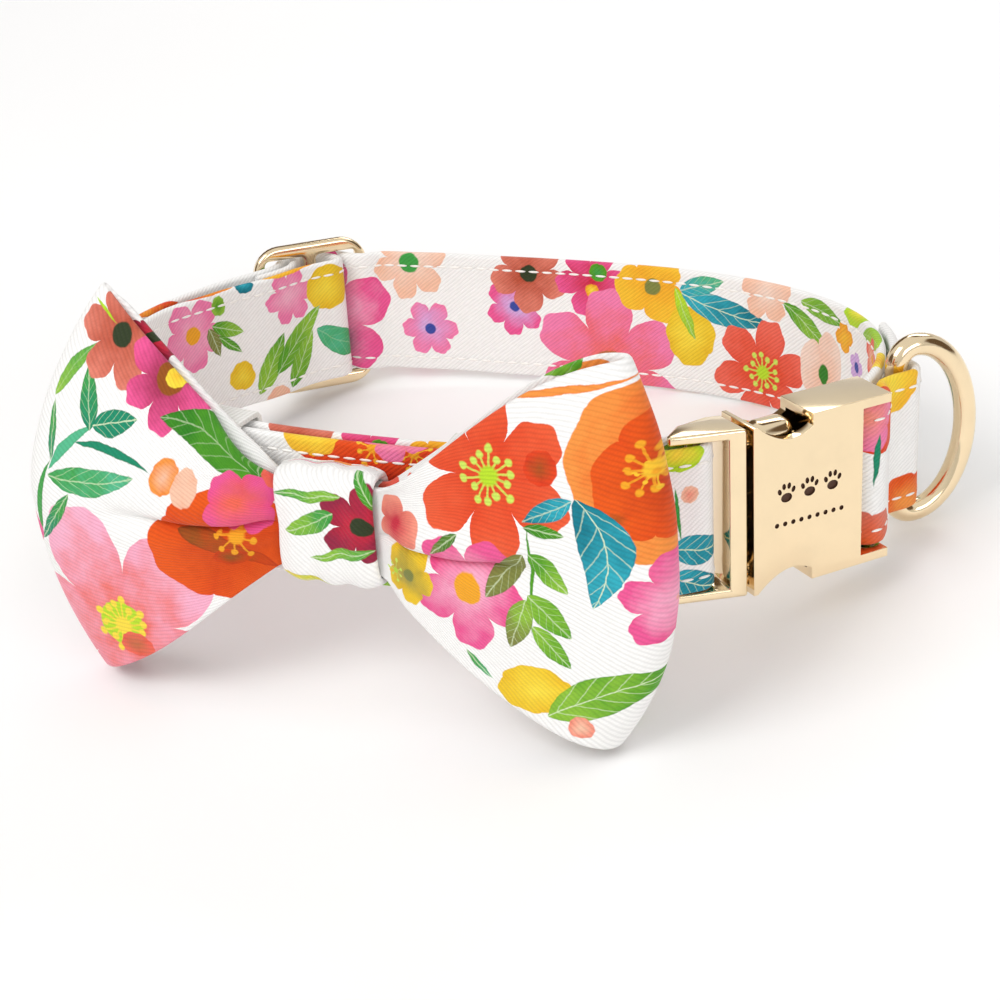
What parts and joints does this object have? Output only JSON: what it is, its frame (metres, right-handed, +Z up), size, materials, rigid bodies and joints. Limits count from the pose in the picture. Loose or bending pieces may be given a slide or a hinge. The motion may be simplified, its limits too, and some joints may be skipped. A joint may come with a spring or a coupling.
{
  "type": "pet bow tie collar",
  "caption": "Printed cloth pet collar, fastened in a ring, with a soft bow tie, a metal side-release buckle, a slider and a D-ring for a lead.",
  "frame": {"origin": "middle of the overall box, on the floor the collar rests on", "axes": "+X along the ring's long axis towards the buckle and the D-ring, -Y to the front where the bow is, +Z up"},
  "size_m": [0.1562, 0.1178, 0.0654],
  "materials": {
    "printed_cloth": "fine twill cloth, printed",
    "elastic": "flat woven elastic",
    "gold_metal": "polished, pale gold plated"
  },
  "bodies": {
    "collar": {"collar_strap": "printed_cloth", "slider": "gold_metal", "buckle_plug": "gold_metal", "buckle_socket": "gold_metal", "bow_band": "printed_cloth", "bow_knot": "printed_cloth", "bow_elastic_left": "elastic", "bow_elastic_right": "elastic"},
    "d_ring": {"d_ring": "gold_metal"}
  },
  "joints": [
    {"name": "d_ring_swing", "type": "hinge", "parent": "collar", "child": "d_ring", "pos_m": [0.0656, 0.00944, 0.01847], "axis": [0.0477, 0.1791, 0.9827], "range_deg": [-70, 25]}
  ]
}
